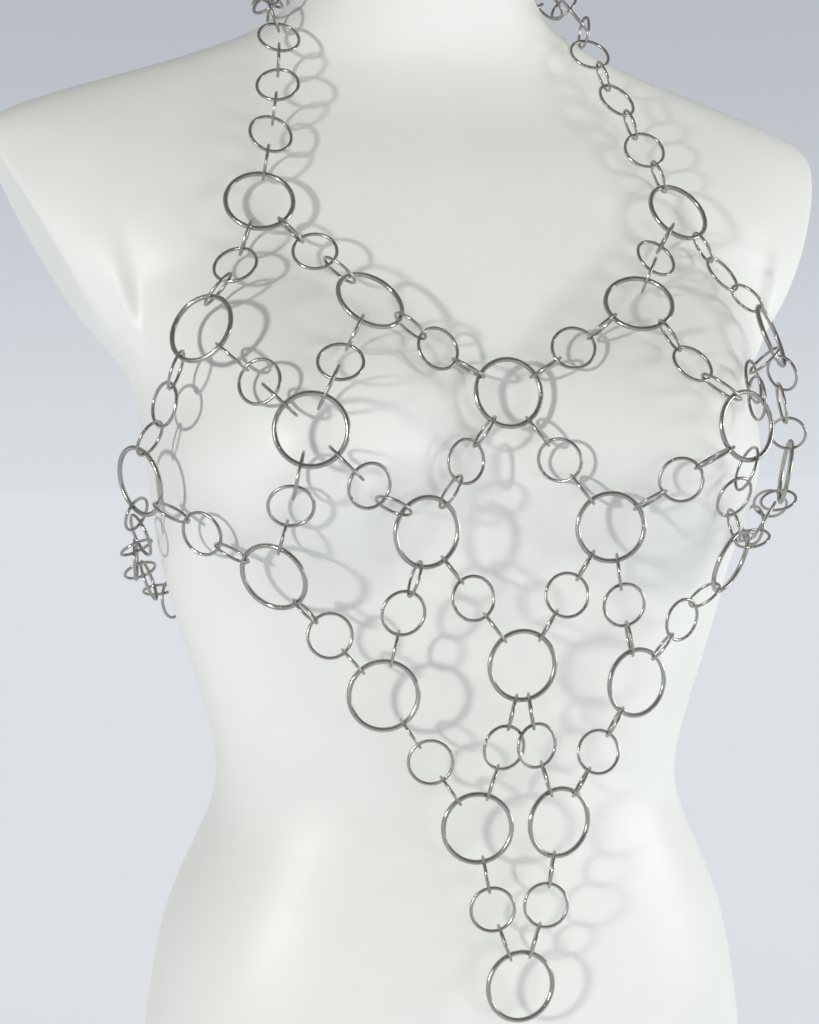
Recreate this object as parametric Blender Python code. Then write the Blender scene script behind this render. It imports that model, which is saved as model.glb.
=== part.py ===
# Ring chainmail halter top on a limbless torso form.
# The net is made of large rings, each pair linked by a medium ring held in two small jump rings.
# Metres, +Z up. The front faces -Y, and +X is the wearer's left. The form stands on z = 0.

import bpy
import bmesh
import numpy as np
from collections import namedtuple
from math import acos, atan2, copysign, cos, pi, radians, sin
from mathutils import Matrix, Vector
from mathutils.bvhtree import BVHTree

MM = 0.001

# Sizes of the three rings: outside diameter and wire diameter.
LARGE_OUTSIDE = 32.0 * MM
LARGE_WIRE = 2.2 * MM
MEDIUM_OUTSIDE = 20.6 * MM
MEDIUM_WIRE = 1.5 * MM
JUMP_OUTSIDE = 17.2 * MM
JUMP_WIRE = 1.4 * MM

# Facets of each ring: round the ring, and round its wire.
LARGE_SEGMENTS = 16
MEDIUM_SEGMENTS = 10
JUMP_SEGMENTS = 8
WIRE_SIDES = 4

CHAIN_PITCH = 30.8 * MM      # between the medium rings of a chain
RUNNING_GAP = 0.4 * MM       # jump ring to the ring that it hangs in loosely
JOINT_OVERLAP = 0.3 * MM     # jump ring sunk into the medium ring, so that a link is one solid
SLACK = 2.0 * MM             # how much shorter than taut each half of a link may be
SKIN_GAP = 1.5 * MM          # lowest wire of a jump ring to the form, whose facets are coarse
REST_HEIGHT = 6.0 * MM       # least height over the form of the middle of a large or medium ring
MEDIUM_SWIVEL = radians(10)  # how far a medium ring is turned about its link, by turns
MOST_LEAN = radians(78)      # how far a jump ring may lean over, out of upright on the form
JUMPS_FACE = Vector((-281, -859, 392)) * MM   # the place that the jump rings point their rims at
JUMP_UPRIGHT = 1.4           # how strongly they stand upright instead, where the form faces away
SETTLE_ROUNDS = 400

# The form, as sections from the base up. Millimetres from the axis: half the width, how far
# forward the widest line lies, the front and back of the middle line, and the squareness.
SECTION_COLUMNS = ("height", "half_width", "side", "front", "back", "square")
SECTIONS = (
    (0, 149, 0, 87, 114, 2.2),
    (45, 150, 2, 90, 117, 2.2),
    (85, 147, 2, 92, 112, 2.2),
    (118, 142, 0, 91, 104, 2.2),
    (145, 135, -2, 87, 97, 2.2),
    (170, 124, -2, 83, 91, 2.2),
    (200, 113, 2, 79, 85, 2.2),
    (225, 115, 8, 77, 83, 2.2),
    (255, 124, 13, 75, 86, 2.15),
    (290, 135, 15, 74, 93, 2.1),
    (330, 143, 12, 75, 100, 2.05),
    (365, 146, 4, 77, 106, 2.1),
    (397, 153, -6, 73, 111, 2.25),
    (430, 182, -22, 60, 115, 2.35),
    (470, 211, -38, 38, 117, 2.3),
    (500, 216, -46, 17, 115, 2.2),
    (517, 206, -50, 3, 112, 2.1),
    (532, 168, -51, -7, 109, 2.05),
    (547, 121, -50, -13, 106, 2.0),
    (563, 82, -50, -12, 104, 2.0),
    (590, 58, -51, -6, 103, 2.0),
    (640, 53, -54, -1, 105, 2.0),
)
FORM_SIDES = 36
FORM_LEVELS = ((0, 500, 20), (500, 590, 6), (590, 640, 1))   # from, to, steps

# The bust, a pair of soft mounds on the front: millimetres.
BUST_ACROSS = 94
BUST_HEIGHT = 362
BUST_RISE = 42
BUST_WIDE = 96
BUST_ABOVE = 94
BUST_BELOW = 76
BUST_FADE = 0.35   # share of the forward turn over which the mounds fade out towards the sides

# The flat arm cuts run through these two places: millimetres across and up.
ARM_CUT_LOW = (158, 400)
ARM_CUT_HIGH = (216, 512)
CUTTER_SIZE = 400
CUTTER_BELOW = 12   # how far the cutter starts below the low place

# A finer copy of the form's skin, from which the net keeps its distance.
FINE_LEVELS = 161
FINE_SIDES = 144

# Large rings of the left side and of the middle line, from the chest down. The column counts
# half steps of the net out from the middle; the right side has the same rings in negative
# columns. Millimetres across, forward and up.
RingPlace = namedtuple("RingPlace", "row column across forward height")
RING_PLACES = (
    RingPlace("a", 2, 100, 41, 473),
    RingPlace("b", 3, 129, 70, 412),
    RingPlace("b", 1, 62, 81, 425),
    RingPlace("c", 4, 147, 50, 350),
    RingPlace("c", 2, 97, 114, 371),
    RingPlace("c", 0, 0, 86, 387),
    RingPlace("d", 3, 104, 86, 310),
    RingPlace("d", 1, 43, 100, 329),
    RingPlace("e", 2, 59, 93, 258),
    RingPlace("e", 0, 0, 105, 270),
    RingPlace("f", 1, 19, 101, 199),
    RingPlace("g", 0, 0, 104, 128),
)

# The top hangs a little askew on the form: its outermost rings lie farther in on the
# right side and farther back on the left. Millimetres across and forward.
TURNED = {("c", -4): (9, -10), ("c", 4): (0, -14), ("b", -3): (2, 3)}

# The two pairs of medium rings nearest the middle line hang nearer to each other, and farther
# apart, than halfway between their large rings: millimetres outward.
MEDIUM_NUDGES = {("e", 0, "f", 1): -2, ("f", 1, "g", 0): 3}

# Each chain: the large ring that it starts from, its count of medium rings, and the route of
# its left half to the middle of the back, in millimetres across, forward and up.
CHAINS = {
    "neck": (("a", 2), 17, ((84, 10, 526), (57, -34, 570), (48, -72, 585), (34, -110, 556), (0, -124, 512))),
    "back": (("c", 4), 16, ((151, 30, 328), (147, -15, 304), (119, -66, 280), (61, -90, 260), (0, -96, 250))),
}


def clear_scene():
    for item in list(bpy.data.objects):
        bpy.data.objects.remove(item, do_unlink=True)


def new_collection(name):
    collection = bpy.data.collections.new(name)
    bpy.context.scene.collection.children.link(collection)
    return collection


def finish(name, colour, metallic, roughness):
    material = bpy.data.materials.new(name)
    material.use_nodes = True
    shader = material.node_tree.nodes["Principled BSDF"]
    shader.inputs["Base Color"].default_value = (*colour, 1.0)
    shader.inputs["Metallic"].default_value = metallic
    shader.inputs["Roughness"].default_value = roughness
    return material


# The torso form

def curve_through(heights, values):
    """A smooth curve through one column of the section table, as a function of the height."""
    gaps = np.diff(heights)
    system = np.zeros((len(heights), len(heights)))
    right_side = np.zeros(len(heights))
    system[0, 0] = system[-1, -1] = 1.0
    slopes = np.diff(values) / gaps
    for i in range(1, len(heights) - 1):
        system[i, i - 1:i + 2] = gaps[i - 1], 2.0 * (gaps[i - 1] + gaps[i]), gaps[i]
        right_side[i] = 6.0 * (slopes[i] - slopes[i - 1])
    bends = np.linalg.solve(system, right_side)

    def value(height):
        i = min(max(int(np.searchsorted(heights, height)) - 1, 0), len(gaps) - 1)
        below = (heights[i + 1] - height) / gaps[i]
        above = 1.0 - below
        bow = (below ** 3 - below) * bends[i] + (above ** 3 - above) * bends[i + 1]
        return below * values[i] + above * values[i + 1] + bow * gaps[i] ** 2 / 6.0

    return value


SECTION_TABLE = np.array(SECTIONS, dtype=float)
SECTION_CURVES = {
    column: curve_through(SECTION_TABLE[:, 0], SECTION_TABLE[:, i])
    for i, column in enumerate(SECTION_COLUMNS) if column != "height"
}


def bust_rise(across, height):
    """How far the bust mounds stand out of the chest, in millimetres."""
    reach = BUST_ABOVE if height > BUST_HEIGHT else BUST_BELOW
    sideways = (abs(across) - BUST_ACROSS) / BUST_WIDE
    upright = (height - BUST_HEIGHT) / reach
    return BUST_RISE * max(1.0 - sideways ** 2 - upright ** 2, 0.0) ** 2


def form_point(turn, height):
    """A point of the form's skin. The turn goes round from the front towards +X, in radians."""
    half_width, side, front, back, square = (
        SECTION_CURVES[column](height) for column in SECTION_COLUMNS[1:])
    out, ahead = sin(turn), cos(turn)
    reach = (abs(out) ** square + abs(ahead) ** square) ** (-1.0 / square)
    across = half_width * reach * out
    depth = front - side if ahead > 0 else back + side
    forward = side + depth * reach * ahead
    forward += bust_rise(across, height) * min(max(ahead / BUST_FADE, 0.0), 1.0)
    return Vector((across, -forward, height)) * MM


def skin_mesh(heights, sides):
    """Points and faces of the skin at these heights, open at the two ends."""
    points = [form_point(2.0 * pi * j / sides, height) for height in heights for j in range(sides)]
    faces = []
    for i in range(len(heights) - 1):
        for j in range(sides):
            k = (j + 1) % sides
            low, high = i * sides, (i + 1) * sides
            faces.append((low + j, low + k, high + k, high + j))
    return points, faces


def form_heights():
    heights = [FORM_LEVELS[0][0]]
    for low, high, steps in FORM_LEVELS:
        heights += [low + (high - low) * (i + 1) / steps for i in range(steps)]
    return heights


def arm_cutter(side, collection):
    """A block whose inner face is the flat arm cut of one side."""
    low = Vector((ARM_CUT_LOW[0], 0.0, ARM_CUT_LOW[1])) * MM
    high = Vector((ARM_CUT_HIGH[0], 0.0, ARM_CUT_HIGH[1])) * MM
    up = (high - low).normalized()
    out = Vector((up.z, 0.0, -up.x))
    size = CUTTER_SIZE * MM
    mesh = bpy.data.meshes.new("arm_cutter")
    shape = bmesh.new()
    bmesh.ops.create_cube(shape, size=size)
    shape.to_mesh(mesh)
    shape.free()
    cutter = bpy.data.objects.new("arm_cutter_" + ("left" if side > 0 else "right"), mesh)
    collection.objects.link(cutter)
    middle = low + up * (0.5 * size - CUTTER_BELOW * MM) + out * 0.5 * size
    cutter.location = (side * middle.x, middle.y, middle.z)
    cutter.rotation_euler.y = side * acos(up.z)
    cutter.hide_render = True
    cutter.display_type = "WIRE"
    return cutter


def build_form(collection, cutters, material):
    heights = form_heights()
    points, faces = skin_mesh(heights, FORM_SIDES)
    last = (len(heights) - 1) * FORM_SIDES
    faces.append(tuple(reversed(range(FORM_SIDES))))
    faces.append(tuple(range(last, last + FORM_SIDES)))
    mesh = bpy.data.meshes.new("torso_form")
    mesh.from_pydata(points, [], faces)
    mesh.materials.append(material)
    mesh.shade_smooth()
    form = bpy.data.objects.new("torso_form", mesh)
    collection.objects.link(form)
    for side in (1, -1):
        cut = form.modifiers.new("arm_cut", "BOOLEAN")
        cut.operation = "DIFFERENCE"
        cut.solver = "EXACT"
        cut.object = arm_cutter(side, cutters)


def skin_tree():
    heights = np.linspace(SECTIONS[0][0], SECTIONS[-1][0], FINE_LEVELS)
    points, faces = skin_mesh(heights, FINE_SIDES)
    return BVHTree.FromPolygons(points, faces)


def off_skin(skin, place):
    """The height of a place over the skin, and the direction away from it."""
    foot, outward, _, _ = skin.find_nearest(place)
    return (place - foot).dot(outward), outward


# The rings

# The flat is the distance from a ring's middle to the middle line of one of its straight sides.
Kind = namedtuple("Kind", "flat wire segments")
LARGE = Kind((LARGE_OUTSIDE - LARGE_WIRE) / 2, LARGE_WIRE, LARGE_SEGMENTS)
MEDIUM = Kind((MEDIUM_OUTSIDE - MEDIUM_WIRE) / 2, MEDIUM_WIRE, MEDIUM_SEGMENTS)
JUMP = Kind((JUMP_OUTSIDE - JUMP_WIRE) / 2, JUMP_WIRE, JUMP_SEGMENTS)

# Inside a jump ring: how much nearer than its own flat the wires lie that it holds fast or loosely.
HELD = (JUMP_WIRE + MEDIUM_WIRE) / 2 - JOINT_OVERLAP
LOOSE_MEDIUM = (JUMP_WIRE + MEDIUM_WIRE) / 2 + RUNNING_GAP
LOOSE_LARGE = (JUMP_WIRE + LARGE_WIRE) / 2 + RUNNING_GAP
LARGE_TO_MEDIUM = LARGE.flat + 2 * JUMP.flat - LOOSE_LARGE - HELD + MEDIUM.flat   # taut

# Two neighbouring rings of the net: their taut distance, how much nearer they may come, and the
# share of the way from the first to the second at which the middle of their jump ring lies.
Tie = namedtuple("Tie", "first second taut slack jump_at")


def large_tie(large, medium):
    jump_at = (LARGE.flat - LOOSE_LARGE + JUMP.flat) / LARGE_TO_MEDIUM
    return Tie(large, medium, LARGE_TO_MEDIUM, SLACK, jump_at)


# Where the rings go. A large ring is named (row, column), a link's medium ring by its two large
# rings, and a chain's medium ring (chain, number), counted from the left large ring.

def mirrored(place):
    return Vector((-place.x, place.y, place.z))


def large_places():
    places = {}
    for row, column, across, forward, height in RING_PLACES:
        for side in (1, -1):
            name = (row, side * column)
            out, ahead = TURNED.get(name, (0, 0))
            places[name] = Vector((side * across + out, -forward - ahead, height)) * MM
    return places


def link_names(large):
    """Rings of neighbouring rows are linked where their columns differ by one."""
    return [upper + lower for upper in large for lower in large
            if ord(lower[0]) - ord(upper[0]) == 1 and abs(lower[1] - upper[1]) == 1]


def chain_places(start, end, route, rings):
    """Even places for the medium rings of a chain, from its left large ring to its right one."""
    half = [Vector((across, -forward, height)) * MM for across, forward, height in route]
    stops = [start] + half + [mirrored(stop) for stop in reversed(half[:-1])] + [end]
    lengths = np.cumsum([0.0] + [(b - a).length for a, b in zip(stops, stops[1:])])
    chain = []
    for i in range(1, rings + 1):
        at = lengths[-1] * i / (rings + 1)
        k = int(np.searchsorted(lengths, at))
        share = (at - lengths[k - 1]) / (lengths[k] - lengths[k - 1])
        chain.append(stops[k - 1].lerp(stops[k], share))
    return chain


def chain_ties(chain):
    """The ties between neighbours along a chain."""
    (row, column), rings, _ = CHAINS[chain]
    ties = [large_tie((row, column), (chain, 0))]
    ties += [Tie((chain, i), (chain, i + 1), CHAIN_PITCH, 0.0, 0.5) for i in range(rings - 1)]
    ties.append(large_tie((row, -column), (chain, rings - 1)))
    return ties


def jump_lean(middle, outward, along):
    """How far a jump ring is turned about its link from standing upright on the form.

    The rings all point their rims at one place before the form, and so they stand upright in the
    middle of the net and lie over at its sides. Behind, they stand upright. The three values are
    the angle, the way across the link, and the way away from the form that is square to it.
    """
    across = outward.cross(along).normalized()
    away = along.cross(across)
    front = (JUMPS_FACE - middle).normalized()
    ahead = outward.dot(front)
    share = min(max(2.0 * ahead + 1.0, 0.0), 1.0)
    point = JUMP_UPRIGHT * (1.0 - ahead) * outward + share * front
    lean = atan2(point.dot(across), point.dot(away))
    return min(max(lean, -MOST_LEAN), MOST_LEAN), across, away


def settle(places, ties, fixed, skin):
    """Moves each ring a little, over and over, until the links are taut and clear of the form."""
    movable = sorted({name for tie in ties for name in (tie.first, tie.second)} - fixed)
    for _ in range(SETTLE_ROUNDS):
        for first, second, taut, slack, jump_at in ties:
            gap = places[second] - places[first]
            excess = gap.length - taut
            if excess < 0.0:
                excess = min(excess + slack, 0.0)
            move = gap.normalized() * excess
            if first in fixed:
                places[second] -= move
            else:
                places[first] += move / 2
                places[second] -= move / 2
            middle = places[first].lerp(places[second], jump_at)
            height, outward = off_skin(skin, middle)
            lean, _, _ = jump_lean(middle, outward, (places[second] - places[first]).normalized())
            lift = JUMP.flat * cos(lean) + JUMP_WIRE / 2 + SKIN_GAP - height
            if lift > 0.0:
                places[second] += outward * lift
                if first not in fixed:
                    places[first] += outward * lift
        for name in movable:
            height, outward = off_skin(skin, places[name])
            if height < REST_HEIGHT:
                places[name] += outward * (REST_HEIGHT - height)


def settled_net(skin):
    """Places of all large and medium rings. The net settles first, and then the two chains."""
    places = large_places()
    large = list(places)
    ties = []
    for link in link_names(large):
        upper, lower = link[:2], link[2:]
        places[link] = (places[upper] + places[lower]) / 2
        ties += [large_tie(upper, link), large_tie(lower, link)]
    for (upper, u, lower, w), outward in MEDIUM_NUDGES.items():
        places[(upper, u, lower, w)].x += outward * MM
        places[(upper, -u, lower, -w)].x -= outward * MM
    settle(places, ties, set(), skin)
    for chain, ((row, column), rings, route) in CHAINS.items():
        start, end = places[(row, column)], places[(row, -column)]
        for i, place in enumerate(chain_places(start, end, route, rings)):
            places[(chain, i)] = place
        settle(places, chain_ties(chain), set(large), skin)
        ties += chain_ties(chain)
    return places, ties


def ring_frame(middle, along, outward):
    """The place and turn of a ring with a straight side towards `along`, lying square to outward."""
    along = along.normalized()
    facing = (outward - outward.dot(along) * along).normalized()
    frame = Matrix((along, facing.cross(along), facing)).transposed().to_4x4()
    frame.translation = middle
    return frame


def rim_point(frame, kind, towards):
    """Where the middle line of a ring's wire crosses the way to another place."""
    local = frame.inverted() @ towards
    turn = atan2(local.y, local.x)
    step = 2.0 * pi / kind.segments
    reach = kind.flat / cos((turn + step / 2) % step - step / 2)
    return frame @ Vector((reach * cos(turn), reach * sin(turn), 0.0))


def large_frame(name, places, ties, skin):
    """A large ring lies in the plane of the links that pull on it."""
    spokes = []
    for tie in ties:
        if name in (tie.first, tie.second):
            other = tie.second if name == tie.first else tie.first
            spokes.append(places[other] - places[name])
    _, outward = off_skin(skin, places[name])
    across = outward.orthogonal().normalized()
    beside = outward.cross(across)
    spokes.sort(key=lambda spoke: atan2(spoke.dot(beside), spoke.dot(across)))
    facing = Vector()
    for first, second in zip(spokes, spokes[1:] + spokes[:1]):
        facing += first.cross(second)
    if len(spokes) == 2:
        facing = spokes[0].cross(spokes[1])
    if facing.dot(outward) < 0.0:
        facing.negate()
    return ring_frame(places[name], facing.cross(Vector((1.0, 0.0, 0.0))), facing)


def medium_frame(before, middle, after, turn, skin):
    """A medium ring lies along its link, and is turned a little about it."""
    along = after - before
    _, outward = off_skin(skin, middle)
    return ring_frame(middle, along, Matrix.Rotation(turn, 3, along) @ outward)


def jump_frame(hold, hang, spare, skin):
    """A jump ring from the medium ring's wire that it holds to another wire.

    The spare is how much nearer than its flat that other wire lies. The ring is drawn to the size
    that the two wires ask for, and leans over further where it would sink into the form.
    """
    along = (hang - hold).normalized()
    flat = ((hang - hold).length + HELD + spare) / 2
    middle = hold + along * (flat - HELD)
    height, outward = off_skin(skin, middle)
    room = (height - SKIN_GAP - JUMP_WIRE / 2) / flat
    least_lean = acos(min(max(room, cos(MOST_LEAN)), 1.0))
    lean, across, away = jump_lean(middle, outward, along)
    if abs(lean) < least_lean:
        lean = copysign(least_lean, lean)
    frame = ring_frame(middle, along, across * cos(lean) - away * sin(lean))
    return frame @ Matrix.Scale(flat / JUMP.flat, 4)


# Building the rings

def ring_mesh(name, kind):
    bpy.ops.mesh.primitive_torus_add(
        major_segments=kind.segments, minor_segments=WIRE_SIDES,
        major_radius=kind.flat / cos(pi / kind.segments), minor_radius=kind.wire / 2)
    ring = bpy.context.active_object
    mesh = ring.data
    mesh.name = name
    mesh.transform(Matrix.Rotation(pi / kind.segments, 4, "Z"))
    mesh.shade_smooth()
    bpy.data.objects.remove(ring)
    return mesh


def place_ring(name, mesh, frame, collection):
    ring = bpy.data.objects.new(name, mesh)
    ring.matrix_world = frame
    collection.objects.link(ring)
    return ring


def fused(name, rings, collection, material):
    """One solid out of rings that hold each other."""
    base = rings[0]
    for ring in rings[1:]:
        union = base.modifiers.new("join", "BOOLEAN")
        union.operation = "UNION"
        union.solver = "EXACT"
        union.object = ring
    evaluated = base.evaluated_get(bpy.context.evaluated_depsgraph_get())
    mesh = bpy.data.meshes.new_from_object(evaluated)
    mesh.name = name
    mesh.materials.clear()
    mesh.materials.append(material)
    place_ring(name, mesh, base.matrix_world.copy(), collection)
    for ring in rings:
        bpy.data.objects.remove(ring)


def label(row, column):
    """The name of a large ring: its row, its column and its side."""
    side = {1: "_left", 0: "", -1: "_right"}[int(np.sign(column))]
    return f"{row}{abs(column)}{side}"


class Net:
    """The settled net, and the meshes and materials that its rings are built from."""

    def __init__(self, collection, large_finish, small_finish):
        self.collection = collection
        self.small_finish = small_finish
        self.skin = skin_tree()
        self.places, self.ties = settled_net(self.skin)
        self.large_mesh = ring_mesh("large_ring", LARGE)
        self.large_mesh.materials.append(large_finish)
        self.medium_mesh = ring_mesh("medium_ring", MEDIUM)
        self.jump_mesh = ring_mesh("jump_ring", JUMP)
        self.large_frames = {
            name: large_frame(name, self.places, self.ties, self.skin) for name in large_places()}

    def medium(self, frame):
        return place_ring("medium", self.medium_mesh, frame, self.collection)

    def jump(self, hold, hang, spare):
        frame = jump_frame(hold, hang, spare, self.skin)
        return place_ring("jump", self.jump_mesh, frame, self.collection)

    def large_jump(self, medium, large_name):
        """A jump ring fused to a medium ring, with a large ring hanging in it."""
        large = self.large_frames[large_name]
        hold = rim_point(medium, MEDIUM, large.translation)
        hang = rim_point(large, LARGE, medium.translation)
        return self.jump(hold, hang, LOOSE_LARGE)

    def chain_jump(self, first, second, loose):
        """A jump ring between two medium rings. Where it is loose, the first hangs in it."""
        hang = rim_point(first, MEDIUM, second.translation)
        hold = rim_point(second, MEDIUM, first.translation)
        return self.jump(hold, hang, LOOSE_MEDIUM if loose else HELD)

    def build_large_rings(self):
        for name, frame in self.large_frames.items():
            place_ring("ring_" + label(*name), self.large_mesh, frame, self.collection)

    def build_links(self):
        for i, link in enumerate(link_names(self.large_frames)):
            upper, lower = link[:2], link[2:]
            turn = MEDIUM_SWIVEL if i // 2 % 2 else -MEDIUM_SWIVEL
            frame = medium_frame(
                self.places[upper], self.places[link], self.places[lower], turn, self.skin)
            rings = [self.medium(frame), self.large_jump(frame, upper), self.large_jump(frame, lower)]
            side = "left" if upper[1] + lower[1] > 0 else "right"
            name = f"link_{upper[0]}{abs(upper[1])}_{lower[0]}{abs(lower[1])}_{side}"
            fused(name, rings, self.collection, self.small_finish)

    def build_chain(self, chain):
        """The left half ends in the middle ring, in which the right half's first jump ring hangs."""
        (row, column), rings, _ = CHAINS[chain]
        middle = (rings - 1) // 2
        places = [self.places[(chain, i)] for i in range(rings)]
        stops = [self.places[(row, column)]] + places + [self.places[(row, -column)]]
        frames = []
        for i, place in enumerate(places):
            turn = MEDIUM_SWIVEL if i % 2 else -MEDIUM_SWIVEL
            frames.append(medium_frame(stops[i], place, stops[i + 2], turn, self.skin))
        left = [self.medium(frame) for frame in frames[:middle + 1]]
        right = [self.medium(frame) for frame in frames[middle + 1:]]
        left.append(self.large_jump(frames[0], (row, column)))
        right.append(self.large_jump(frames[-1], (row, -column)))
        for i in range(rings - 1):
            half = left if i < middle else right
            half.append(self.chain_jump(frames[i], frames[i + 1], loose=i == middle))
        fused(f"{chain}_chain_left", left, self.collection, self.small_finish)
        fused(f"{chain}_chain_right", right, self.collection, self.small_finish)


def main():
    clear_scene()
    collection = new_collection("Ring halter top on a torso form")
    cutters = new_collection("Cutters")
    large_nickel = finish("large_ring_nickel", (0.62, 0.60, 0.58), 1.0, 0.22)
    small_nickel = finish("small_ring_nickel", (0.60, 0.58, 0.56), 1.0, 0.25)
    shell = finish("form_satin", (0.80, 0.80, 0.77), 0.0, 0.45)
    build_form(collection, cutters, shell)
    net = Net(collection, large_nickel, small_nickel)
    net.build_large_rings()
    net.build_links()
    for chain in CHAINS:
        net.build_chain(chain)


main()
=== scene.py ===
# Ring chainmail halter top on a torso dress form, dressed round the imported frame.
# Metres, +Z up, front towards -Y, +X to the wearer's left. Tables of sizes are in millimetres.
import random
from math import acos, atan2, copysign, cos, pi, radians, sin

import bpy
import numpy as np
from mathutils import Matrix, Vector
from mathutils.bvhtree import BVHTree


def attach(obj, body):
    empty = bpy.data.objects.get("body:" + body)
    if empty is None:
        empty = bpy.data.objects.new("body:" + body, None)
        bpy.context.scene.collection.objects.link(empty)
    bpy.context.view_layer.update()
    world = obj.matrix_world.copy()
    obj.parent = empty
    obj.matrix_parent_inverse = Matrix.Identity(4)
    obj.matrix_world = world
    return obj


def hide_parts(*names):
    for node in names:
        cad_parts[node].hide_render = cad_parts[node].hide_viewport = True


mm = 0.001
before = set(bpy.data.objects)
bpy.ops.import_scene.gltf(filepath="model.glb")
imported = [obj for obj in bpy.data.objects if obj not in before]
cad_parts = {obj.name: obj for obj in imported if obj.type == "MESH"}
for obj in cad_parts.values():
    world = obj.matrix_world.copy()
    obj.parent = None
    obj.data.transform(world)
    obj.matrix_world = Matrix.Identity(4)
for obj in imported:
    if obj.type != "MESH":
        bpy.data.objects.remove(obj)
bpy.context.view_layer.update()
print("Frame loaded:", len(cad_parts), "nodes")


# Camera, at the photograph's viewing angle
cameraSetup = {   # in degrees and millimetres, but for the clip distances
    "azimuth": -17.0,               # round from the front
    "elevation": 4.0,
    "distance": 900.0,
    "target": (-18.85, 0.0, 329.7),
    "focalPixels": 1877.6,
    "imageHeight": 1024,
    "sensor": 36.0,
    "clip": (0.01, 50.0),           # metres
}


def viewDirection(azimuth, elevation):
    a, e = radians(azimuth), radians(elevation)
    return Vector((sin(a) * cos(e), -cos(a) * cos(e), sin(e)))


def placeCamera(setup):
    data = bpy.data.cameras.new("camera")
    data.sensor_width = setup["sensor"]
    data.lens = setup["sensor"] * setup["focalPixels"] / setup["imageHeight"]
    data.clip_start, data.clip_end = setup["clip"]
    camera = bpy.data.objects.new("camera", data)
    bpy.context.scene.collection.objects.link(camera)
    back = viewDirection(setup["azimuth"], setup["elevation"])
    camera.location = (Vector(setup["target"]) + back * setup["distance"]) * mm
    camera.rotation_euler = (-back).to_track_quat("-Z", "Y").to_euler()
    bpy.context.scene.camera = camera


placeCamera(cameraSetup)
print("Camera placed")


# Shader groups, used by more than one finish
effects = {
    "broadShare": 0.72,             # of the mottle's broad cloud; the finer one has the rest
    "broadDetail": 3.0,
    "fineDetail": 2.0,
    "smudgeDetail": 5.0,
    "smudgeGrain": 0.6,
    "smudgeRange": (0.34, 0.68),    # of the noise that turns from the least to the most roughness
    "scuffTurn": (0.5, 0.3, 0.9),   # radians
    "scuffStretch": (1.0, 9.0, 1.6),
    "scuffLevel": 0.62,             # of the noise above which there is a scuff
}


def newGroup(name, inputs, outputs):
    group = bpy.data.node_groups.new(name, "ShaderNodeTree")
    for label, kind, value in inputs:
        socket = group.interface.new_socket(label, in_out="INPUT", socket_type=kind)
        socket.default_value = value
    for label, kind in outputs:
        group.interface.new_socket(label, in_out="OUTPUT", socket_type=kind)
    return group, group.nodes.new("NodeGroupInput"), group.nodes.new("NodeGroupOutput")


def addNode(tree, kind, **settings):
    node = tree.nodes.new(kind)
    for name, value in settings.items():
        setattr(node, name, value)
    return node


def feed(tree, socket, value):
    # a socket gets a link from another node, or else a fixed value
    if isinstance(value, bpy.types.NodeSocket):
        tree.links.new(value, socket)
    else:
        socket.default_value = value


def mathNode(tree, operation, first, second):
    node = addNode(tree, "ShaderNodeMath", operation=operation)
    for socket, value in zip(node.inputs, (first, second)):
        feed(tree, socket, value)
    return node.outputs[0]


def smoothRange(tree, value, low, high):
    # goes softly from 0 to 1 as a value goes from low to high
    share = addNode(tree, "ShaderNodeMapRange", interpolation_type="SMOOTHSTEP")
    feed(tree, share.inputs["Value"], value)
    feed(tree, share.inputs["From Min"], low)
    feed(tree, share.inputs["From Max"], high)
    return share


def colourMix(tree, share, first, second):
    mix = addNode(tree, "ShaderNodeMix", data_type="RGBA")
    for socket, value in zip((mix.inputs["Factor"], mix.inputs[6], mix.inputs[7]), (share, first, second)):
        feed(tree, socket, (*value, 1.0) if isinstance(value, tuple) else value)
    return mix.outputs[2]


def noiseValue(tree, vector, scale, detail, roughness=0.55):
    noise = addNode(tree, "ShaderNodeTexNoise", noise_dimensions="3D")
    tree.links.new(vector, noise.inputs["Vector"])
    tree.links.new(scale, noise.inputs["Scale"])
    noise.inputs["Detail"].default_value = detail
    noise.inputs["Roughness"].default_value = roughness
    return noise.outputs["Fac"]


def mottleGroup():
    # cloudy colour between two tones, with a second finer cloud on top
    group, given, result = newGroup(
        "mottle",
        [("Tone", "NodeSocketColor", (0.8, 0.8, 0.8, 1.0)),
         ("Second Tone", "NodeSocketColor", (0.6, 0.6, 0.6, 1.0)),
         ("Scale", "NodeSocketFloat", 20.0),
         ("Fine Scale", "NodeSocketFloat", 300.0),
         ("Sharpness", "NodeSocketFloat", 0.3)],
        [("Color", "NodeSocketColor")])
    where = addNode(group, "ShaderNodeTexCoord").outputs["Object"]
    broad = noiseValue(group, where, given.outputs["Scale"], effects["broadDetail"])
    fine = noiseValue(group, where, given.outputs["Fine Scale"], effects["fineDetail"])
    both = mathNode(group, "ADD", mathNode(group, "MULTIPLY", broad, effects["broadShare"]),
                    mathNode(group, "MULTIPLY", fine, 1.0 - effects["broadShare"]))
    low, high = (mathNode(group, operation, 0.5, given.outputs["Sharpness"])
                 for operation in ("SUBTRACT", "ADD"))
    spread = smoothRange(group, both, low, high)
    mix = colourMix(group, spread.outputs["Result"], given.outputs["Tone"], given.outputs["Second Tone"])
    group.links.new(mix, result.inputs["Color"])
    return group


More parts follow.
